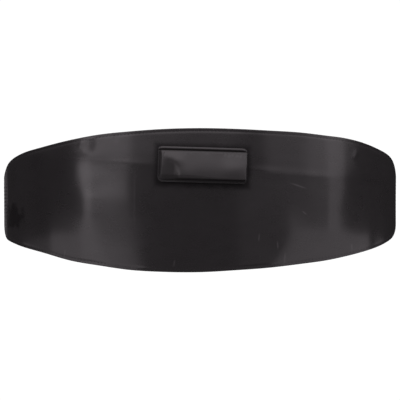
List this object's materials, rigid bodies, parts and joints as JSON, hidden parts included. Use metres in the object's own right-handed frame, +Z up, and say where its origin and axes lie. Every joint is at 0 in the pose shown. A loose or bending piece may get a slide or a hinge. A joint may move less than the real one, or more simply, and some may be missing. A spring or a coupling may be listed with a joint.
{
  "type": "cummerbund",
  "caption": "Wide tapered cummerbund of smooth black leather in its worn oval form, with a small open pouch pocket in front and elastic straps that hook behind.",
  "frame": {"origin": "middle of the waist hollow, half way up the band, where the wearer's waist holds it", "axes": "+Z up; the front faces -Y; +X is to the right of someone who looks at the front"},
  "size_m": [0.3192, 0.2273, 0.1116],
  "materials": {
    "panel_leather": "smooth black leather, semi-gloss, nearly grainless",
    "pocket_leather": "smooth black leather, satin, softly puckered at the mouth",
    "strap_elastic": "black woven elastic, matt, ribbed lengthwise",
    "clasp_metal": "satin black coated steel"
  },
  "bodies": {
    "root": {"front_panel": "panel_leather", "pocket_back": "pocket_leather", "pocket_front": "pocket_leather", "strap_loop_side": "strap_elastic", "strap_hook_side": "strap_elastic", "clasp_loop": "clasp_metal", "clasp_hook": "clasp_metal"}
  },
  "joints": []
}
